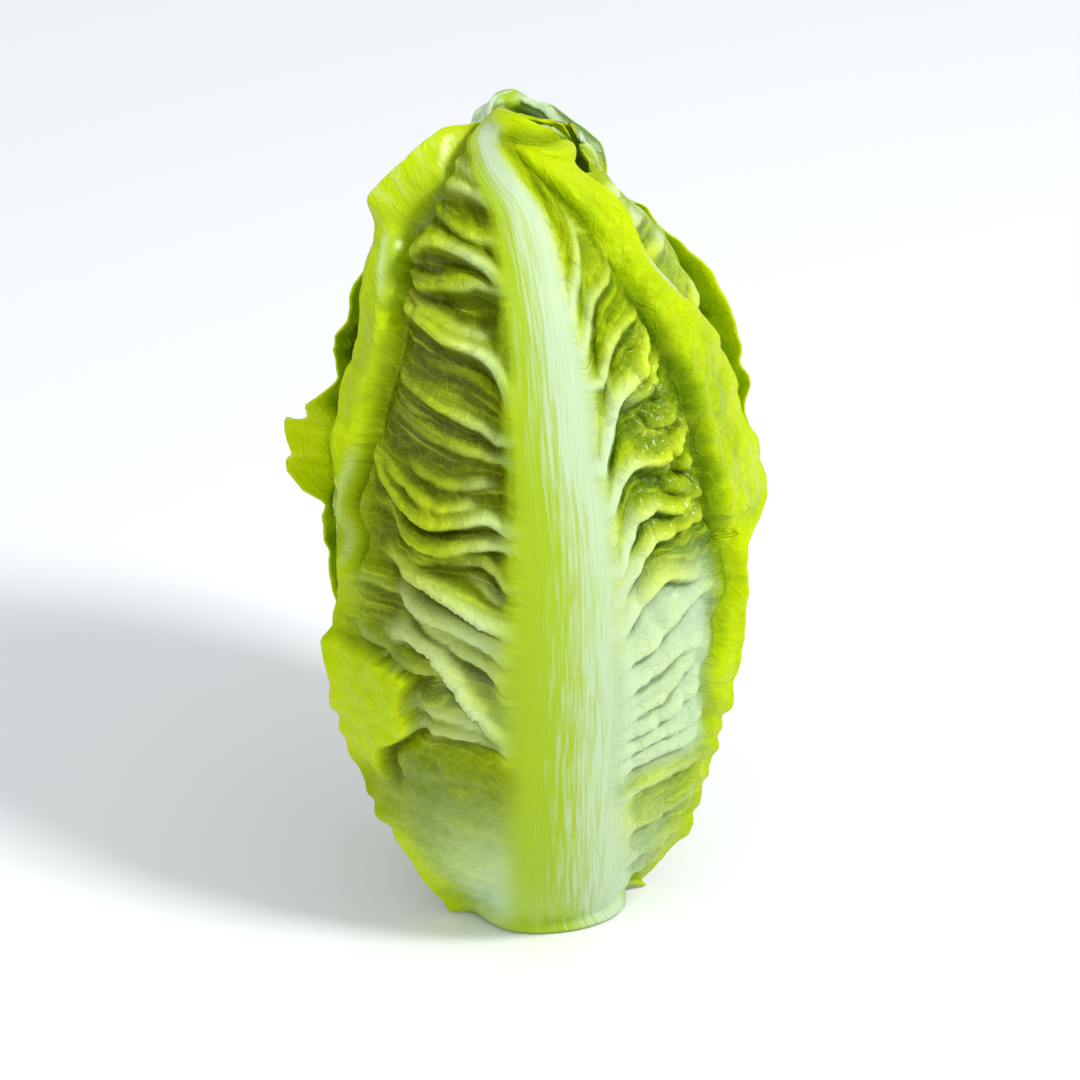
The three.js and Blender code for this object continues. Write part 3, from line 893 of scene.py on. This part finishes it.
FRONT_RIGHT_FOLDS = [
    (1.8, 0.5, [(5, 127.5), (6, 130), (8, 134), (10, 141)]),
    (2.0, 0.45, [(5.8, 121.5), (8, 126), (9.5, 129.6), (14, 133.5), (17, 137)]),
    (2.2, 0.5, [(8.5, 115.5), (10, 118), (11.5, 121), (15, 124), (19, 126)]),
    (3.0, 1.0, [(7.5, 102.5), (9.5, 107.5), (10.8, 111), (13.5, 114), (17, 116.6), (20, 121.5)]),
    (2.0, 0.8, [(13, 111.6), (17, 113.2), (21, 116.2), (24, 117)]),
    (2.8, 0.9, [(8, 95.5), (12, 100), (15, 101.7), (20, 101.5), (25, 102.5), (29, 105)]),
    (1.3, 0.3, [(16, 106.5), (20, 106), (24, 107.5)]),
    (2.8, 0.95, [(9, 84.5), (11, 88.5), (13, 92), (17, 93), (22, 91.6), (28, 92.4)]),
    (2.9, 0.9, [(8.5, 79), (12, 84), (16, 87.5), (20, 88), (25, 88.8), (30, 89.5)]),
    (2.4, 0.95, [(10, 73), (14, 78), (18, 80.5), (22, 79.6), (27, 77.5)]),
    (2.2, 0.9, [(10, 66), (15, 68.5), (20, 71.8), (26, 74), (31, 73.5)]),
    (2.0, 0.85, [(10, 60), (16, 62.5), (22, 65), (28, 64)]),
    (1.9, 0.8, [(11, 54.5), (18, 57), (22.5, 60.2), (26, 62)]),
    (1.9, 0.8, [(10.5, 50.5), (18, 52), (25, 54), (29, 56)]),
    (2.1, 0.9, [(10.5, 47), (18, 47.3), (25.5, 47), (30.5, 48)]),
    (1.9, 0.8, [(10.5, 43.5), (18, 43.2), (28.5, 43.5)]),
    (1.5, 0.6, [(10, 36), (20, 37), (30, 37)]),
    (1.4, 0.5, [(10, 26), (20, 27.5), (32, 29)]),
    (1.3, 0.5, [(9, 16), (20, 17), (28, 18)]),
    (1.0, 0.4, [(8, 6), (18, 8), (26, 9)]),
]
front_left_depth = smooth_curve((0, 1.2), (42, 1.4), (56, 2.8), (90, 3.6), (120, 3.8), (138, 2.6), (150, 1))
front_right_depth = smooth_curve((0, 1.2), (45, 1.8), (70, 2.3), (100, 2.9), (122, 2.4), (150, 1.2))

# Distances from the front leaf's midrib to the groove inside each rolled edge
left_groove = smooth_curve(
    (66, 45), (76, 43), (82.5, 42), (88, 44), (92, 43.4), (100, 39.5), (109, 35.5), (118, 31.5), (127, 31),
    (134, 30), (141, 20), (149, 9),
)
right_groove = smooth_curve(
    (40, 32), (50, 30.5), (56, 29.5), (62, 32.5), (68, 33.5), (74, 36), (84, 34), (88, 31), (95, 31.5),
    (103, 29.5), (110, 27), (117, 24), (126, 20.5), (133, 18), (139, 15.5), (145, 12), (149, 7),
)


def front_relief(arc, z, left, right):
    """The front leaf's rolled edges with grooves inside them, its turned-over lobe at the lower left, where
    its blade is pale and where yellow-green, its painted shade in the grooves, and painted highlights and
    glints."""
    past_left = -arc - left_groove(z)  # how far beyond the groove, towards the margin
    past_right = arc - right_groove(z)
    upper_left = ease(74, 82, z)
    upper_right = ease(83, 90, z)
    crisp = ease(126, 134, z)
    tube = ease(88, 100, z)
    edge = ease(0.3, mix(3.0, 1.8, crisp), past_left) * (1 - 0.5 * ease(5, 10, past_left)) * upper_left
    upper_right = upper_right * ease(147, 137, z)
    shoulder = ease(1.5, 6, past_right) * (1 - ease(8, 15, past_right)) * upper_right
    low_edge = ease(0.3, 2, past_right) * ease(38, 46, z) * ease(82, 78, z)
    grooves = 2.6 * bump(past_left, -0.8, 1.9) * upper_left
    grooves += mix(1.4, 2.6, upper_right) * bump(past_right, 0.2, 2.0) * ease(40, 48, z)
    lobe_side = 27.5 + 6 * ease(52, 40, z) + 1.2 * np.sin(z / 2.1) + 14 * ease(60.5, 64, z)
    past_lobe = -arc - lobe_side
    lobe_height = ease(33, 41, z) * ease(64, 61.5, z)
    lobe = ease(0, 1.3, past_lobe) * lobe_height
    grooves += 1.5 * bump(past_lobe, -1.4, 1.5) * lobe_height
    uneven = 0.7 + 0.7 * noise(z / 9, arc / 20, 71) + 0.4 * noise(z / 4, arc / 9, 75)
    crinkled = ease(12, 17, arc) * ease(1, -3, past_right) * ease(84, 92, z) * ease(128, 118, z)
    crinkle = blisters(arc / 5.4 + 0.5 * noise(arc / 4, z / 4, 72), z / 4.6, 73) - 0.5
    crinkle += 0.35 * blisters(arc / 2.2, z / 2.1, 74) - 0.18
    slimmer = bump(z, 101, 14) * ease(2, 8, past_right) * upper_right
    rise = 0.9 * edge * mix(0.6, 1, tube) + 0.9 * shoulder * uneven - 2.6 * slimmer
    rise += 0.8 * low_edge + 1.8 * lobe - grooves
    rise = rise + 1.5 * crinkled * crinkle
    pale_right = ease(7, 11, arc) * ease(33, 27, arc) * ease(36, 44, z) * ease(86, 74, z)
    pale_left = ease(-30, -14, arc) * (arc < 0) * ease(49, 54, z) * ease(80, 66, z)
    # Painted highlights: pale glossy lines on the left ridge, on the strip's inner edge and along the
    # corner's crease, and a rim of light on the right margin near the top; the flap's pale veins are its own
    painted_ridge_highlight = 0.35 * bump(past_left, 1.5, 0.5) * ease(76, 80, z) * ease(101, 95, z)
    # Painted glint: pale lime on the crinkled blisters at the right
    painted_glint = 0.9 * bump(arc, 24, 5) * bump(z, 100, 6) * ease(-0.5, 0.4, crinkle)
    painted_highlight_line = 0.5 * bump(past_left, 2.4, 0.5) * ease(122, 126, z) * ease(132.5, 130, z)
    painted_crease_highlight = 0.6 * bump(past_left, -1.3, 1.1) * ease(131, 134, z) * ease(147, 143, z)
    fan = z - 0.5 * past_left + 0.8 * noise(z / 3, past_left / 3, 77)
    flap_veins = 0.22 * ease(1, 4, past_left) * crisp * np.maximum(np.sin(fan * 1.9), 0) ** 2
    veins_and_painted_highlights = np.maximum(np.maximum(painted_ridge_highlight, painted_highlight_line), np.maximum(painted_crease_highlight, flap_veins))
    veins_and_painted_highlights = np.maximum(veins_and_painted_highlights, 0.8 * ease(1.5, 0.5, right - arc) * bump(z, 130.5, 4))
    pale = np.maximum(np.maximum(0.85 * pale_right, 0.15 * pale_left), veins_and_painted_highlights)
    shoulder_band = 0.6 * ease(2, 5.5, past_right) * (1 - 0.5 * ease(7, 11, past_right)) * upper_right
    # Painted highlights: lime on the tops of the crinkled blisters
    painted_blister_highlights = 0.7 * crinkled * ease(-0.1, 0.45, crinkle)
    lime = edge * mix(0.15, 0.8, tube) * mix(1, 0.3, ease(114, 121, z) * ease(133, 129, z))
    lime += shoulder_band + 0.9 * low_edge + lobe + painted_blister_highlights + painted_glint
    lime = np.clip(lime + ease(145, 148, z), 0, 1)
    # Painted shade: darker in the grooves inside both rolled edges, under the lobe, along the left edge below
    # its tube, and on the lower left below the lobe
    painted_shade = bump(past_left, -1.2, 1.5) * upper_left + 0.7 * bump(past_right, -1.6, 2.2) * ease(44, 52, z)
    painted_shade += 0.8 * bump(past_lobe, -1.2, 1.1) * lobe_height + 0.5 * edge * (1 - tube)
    painted_shade += 0.55 * (arc < 0) * ease(48, 44, z) * ease(18, 32, z) * (1 - lobe)
    painted_shade += 0.65 * bump(past_right, 0.8, 2.0) * upper_right * ease(134, 126, z)
    rolled = ease(-0.5, 1.5, past_left) * upper_left + ease(-0.5, 2, past_right) * upper_right
    rolled += ease(-0.5, 1.5, past_right) * ease(38, 46, z) + lobe + (arc < 0) * ease(48, 44, z)
    rolled += 0.8 * painted_glint
    wet = 0.8 * crinkled + 0.6 * edge * ease(95, 115, z) + 0.3 * pale_right
    pale = np.maximum(pale * (1 - lime), veins_and_painted_highlights)
    return rise, pale, lime, np.clip(painted_shade, 0, 1), np.clip(rolled, 0, 1), np.clip(wet, 0, 1)


front_path = smooth_curve(
    (0, 4.3), (46, 4.3), (88, 4), (106, 2.4), (123, 1), (137, -1.7), (142, -4), (146, -9), (149, -12),
    (152.5, -6), (FRONT_TOP, -1),
)
front_left = smooth_curve(
    (0, 18), (8, 25), (20, 33), (33, 39), (45, 46), (56, 46), (60, 48), (68, 48), (76, 45), (82, 45),
    (90, 45.5), (100, 45), (109, 43), (118, 39.5), (127, 37), (132, 37), (136, 34), (141, 26), (146, 15),
    (149.5, 8), (152.5, 4), (FRONT_TOP, 2),
)
front_right = smooth_curve(
    (0, 18), (8, 25), (20, 31), (33, 34), (45, 35), (61, 37.5), (72, 38), (80, 39), (81.5, 42), (84, 53),
    (95, 54), (110, 46), (118, 38.5), (126, 31), (133, 27), (141, 24), (146, 24), (150, 18), (152.5, 11),
    (FRONT_TOP, 3),
)


def front_green(arc, z):
    """The painted shade in the front leaf's hollows is olive on its left and a clearer green on its right."""
    return ease(-12, 14, arc) + 0 * z


def front_taper(share):
    """The front leaf's midrib stays broad for most of its length."""
    return front_rib(share * HEAD_HEIGHT) / FRONT_RIB_WIDTH


front_rib = smooth_curve(
    (0, 12), (46, 10.8), (70, 10.2), (88, 8.8), (106, 7.3), (123, 6.2), (137, 4.9), (145, 4), (149.5, 1.5),
)


def front_flare(arc, z, left, right, bare):
    """The front leaf's margin stands out in a pointed corner at its upper left, and curls at its top."""
    corner = (arc < 0) * ease(129, 134, z) * ease(147, 141, z)
    right_side = (arc > 0) * ease(100, 112, z)
    roll = 1.0 * corner - 0.5 * bare * right_side
    strip = 5.5 * bump(z, 135, np.where(z < 135, 4.0, 7.5)) * (arc < 0)
    return roll, strip, 0 * z


back_left = smooth_curve(
    (0, 24), (20, 44), (50, 52), (90, 54), (105, 48), (118, 34), (128, 24), (138, 17), (146, 11),
    (150, 7), (BACK_TOP, 2),
)
back_right = smooth_curve(
    (0, 24), (20, 44), (50, 52), (90, 57), (105, 52), (118, 42), (128, 34), (138, 21), (146, 10),
    (150, 6), (BACK_TOP, 2.5),
)
back_path = smooth_curve((0, 0), (118, 0), (140, 3), (149, 6), (BACK_TOP, 3))


def back_flare(arc, z, left, right, bare):
    """The back leaf's margins lie close to the head near its tip. One stands out in a frill lower down."""
    top = ease(112, 124, z)
    lobe = (arc > 0) * ease(72.5, 75, z) * ease(100, 84, z) * (0.9 + 0.12 * np.sin(z / 1.3))
    return 1.0 * lobe - 0.5 * bare * top, 7.5 * lobe, 0.8 * lobe * bare - 0.9 * bare * top


def back_relief(arc, z, left, right):
    """The back leaf is smooth and nearly white at its tip."""
    tip = ease(136, 142, z)
    lime = 0.8 * (arc > 0) * ease(right - 9, right - 3, arc) * ease(72, 78, z) * ease(104, 96, z)
    return 0 * z, tip, lime, 0 * z, tip, 0 * z


def back_taper(share):
    """The back leaf's midrib is still broad at its pale tip."""
    return mix(1, 0.45, share**0.9)


# Each outer leaf: its degrees round from the front, and its half widths to either side of its midrib
OUTER_LEAVES = [
    (0, 41, 52), (183, 55, 55), (322, 50, 48), (118, 50, 50), (243, 48, 50), (20, 48, 46), (150, 46, 46),
]
CLOSE_VIEW = dict(rows=200, columns=130)
OWN_FORMS = {
    0: dict(
        rows=268, columns=184, detail=0.7, lift=4.4, pucker=0.9, rib_rise=1.2, rib_width=FRONT_RIB_WIDTH,
        folds=[Folds(front_left_depth, FRONT_LEFT_FOLDS), Folds(front_right_depth, FRONT_RIGHT_FOLDS)],
        rib_path=front_path, rib_taper=front_taper, rib_light=0.42, greenness=front_green,
        relief=front_relief, flare=front_flare, edges=(front_left, front_right), top=FRONT_TOP, lip=0.6,
    ),
    1: dict(
        rows=210, columns=150, lift=2.6, hollow=2.4, pucker=0.9, rib_width=10, top=BACK_TOP,
        rib_path=back_path, rib_taper=back_taper, edges=(back_left, back_right), flare=back_flare,
        relief=back_relief, sway=(-3, 9, -3.5),
    ),
    2: CLOSE_VIEW,
    3: CLOSE_VIEW,
    4: CLOSE_VIEW,
}


def plan_leaves():
    """Every leaf, from the outermost to the innermost."""
    leaves = []
    for i, (turn, left, right) in enumerate(OUTER_LEAVES):
        details = dict(
            seed=100 * (i + 1), rows=130, columns=90, lift=1.6, hollow=1.3, pucker=0.6, frill=0.9,
            rib_rise=1.6, rib_width=8.0, raised=3.5 if i > 1 else 0,
        )
        details.update(OWN_FORMS.get(i, {}))
        leaves.append(Leaf(f"outer_leaf_{i + 1}", turn, i * OUTER_PITCH, (left, right), **details))
    turn = OUTER_LEAVES[-1][0]
    depth = len(OUTER_LEAVES) * OUTER_PITCH
    rings = [
        ("middle", MIDDLE_COUNT, MIDDLE_PITCH, MIDDLE_WRAP, dict(rows=90, columns=67, rib_width=5.5)),
        ("heart", HEART_COUNT, HEART_PITCH, HEART_WRAP, dict(rows=50, columns=37, rib_width=3)),
    ]
    for ring, count, pitch, wrap, size in rings:
        for i in range(count):
            turn += SPIRAL_TURN
            half = (HEAD_RADIUS - depth) * wrap
            facing = math.radians(FRONT + turn)
            sway = (-TIP_BEND * math.cos(facing), -TIP_BEND * math.sin(facing), 0)
            details = dict(seed=1000 + round(depth * 10), raised=6, sway=sway, **size)
            leaves.append(Leaf(f"{ring}_leaf_{i + 1}", turn, depth, (half, half), **details))
            depth += pitch
    return leaves


def build_head():
    """Shapes every leaf from the innermost outwards, each over those already there, then stem and bud."""
    # deep and deep_green colour the painted shade; rib paints the midrib's lit side, a painted highlight
    # pale also carries painted highlights; inside is painted brighter to stand in for light through the leaf
    finishes = {
        "outer": leaf_finish(
            "fresh_green_leaf", gloss=0.27, blade="#7fa000", deep="#485400", deep_green="#3e6000",
            rim="#b4cc00", vein="#c8da2e", pale="#bcd2b2", rib="#b9cda8", rib_green="#9cb824",
            inside="#c4d600",
        ),
        "middle": leaf_finish(
            "young_leaf", gloss=0.32, blade="#bcd340", deep="#98b428", deep_green="#8cb02c", rim="#d3e04e",
            vein="#dfe990", pale="#e2ecbc", rib="#e6efc6", rib_green="#cfdf84", inside="#d5e17a",
        ),
        "heart": leaf_finish(
            "heart_leaf", gloss=0.34, blade="#dfe384", deep="#c8d264", deep_green="#bfd066", rim="#e8e986",
            vein="#eceeb0", pale="#eff2d2", rib="#eff2d2", rib_green="#e4eaa8", inside="#e6e89a",
        ),
    }
    wrapping = Wrapping()
    leaves = plan_leaves()
    for i in reversed(range(len(leaves))):
        leaf = leaves[i]
        outer, inner, marks, place = shape_leaf(leaf, wrapping, leaves[:i])
        wrapping.add(outer)
        piece = closed_mesh(leaf.node + "_grown", settled(outer), settled(inner), marks, place)
        ring = leaf.node.split("_")[0]
        settle_in(piece, leaf.node, finishes[ring])
    build_stem(stem_finish())
    build_bud(finishes["heart"])


build_head()


# ---- Floor, light and camera ----


CAMERA_ELEVATION = math.radians(30)
CAMERA_DISTANCE = 0.78
CAMERA_LENS = 150
AIM_HEIGHT = 0.46  # of the head's height, where the camera and the lamps point
FLOOR_HALF = 3.0
LAMPS = {
    # name: where it stands, its width, and its power in watts
    "key": ((0.55, -0.35, 0.75), 0.16, 7.0),
    "fill": ((-0.6, -0.7, 0.5), 0.8, 2.0),
}


def pointing(direction):
    """The rotation that points a lamp or camera along a direction, its top upwards."""
    return Vector(direction).to_track_quat("-Z", "Y").to_euler()


def build_floor():
    corners = [(-FLOOR_HALF, -FLOOR_HALF, 0), (FLOOR_HALF, -FLOOR_HALF, 0)]
    corners += [(FLOOR_HALF, FLOOR_HALF, 0), (-FLOOR_HALF, FLOOR_HALF, 0)]
    mesh = bpy.data.meshes.new("floor")
    mesh.from_pydata(corners, [], [(0, 1, 2, 3)])
    floor = bpy.data.objects.new("floor", mesh)
    bpy.context.scene.collection.objects.link(floor)
    # White paper: matt, with no grain to be seen
    material, tree = new_material("white_paper")
    shader = add(tree, "BsdfPrincipled", {"Base Color": linear("#eef0f1"), "Roughness": 0.9})
    add(tree, "OutputMaterial", {"Surface": shader})
    mesh.materials.append(material)


def studio():
    scene = bpy.context.scene
    scene.view_settings.view_transform = "Standard"
    scene.world = bpy.data.worlds.new("studio")
    scene.world.use_nodes = True
    background = scene.world.node_tree.nodes["Background"]
    background.inputs["Color"].default_value = linear("#f8faff")
    background.inputs["Strength"].default_value = 0.75
    build_floor()

    middle = np.array([0, 0, HEAD_HEIGHT * MM * AIM_HEIGHT])
    for name, (where, size, power) in LAMPS.items():
        lamp = bpy.data.lights.new(name, "AREA")
        lamp.size = size
        lamp.energy = power
        holder = bpy.data.objects.new(name, lamp)
        holder.location = where
        holder.rotation_euler = pointing(middle - np.array(where))
        scene.collection.objects.link(holder)

    camera = bpy.data.objects.new("camera", bpy.data.cameras.new("camera"))
    back = np.array([0, -math.cos(CAMERA_ELEVATION), math.sin(CAMERA_ELEVATION)])
    camera.location = middle + CAMERA_DISTANCE * back
    camera.rotation_euler = pointing(-back)
    camera.data.lens = CAMERA_LENS
    scene.collection.objects.link(camera)
    scene.camera = camera


studio()
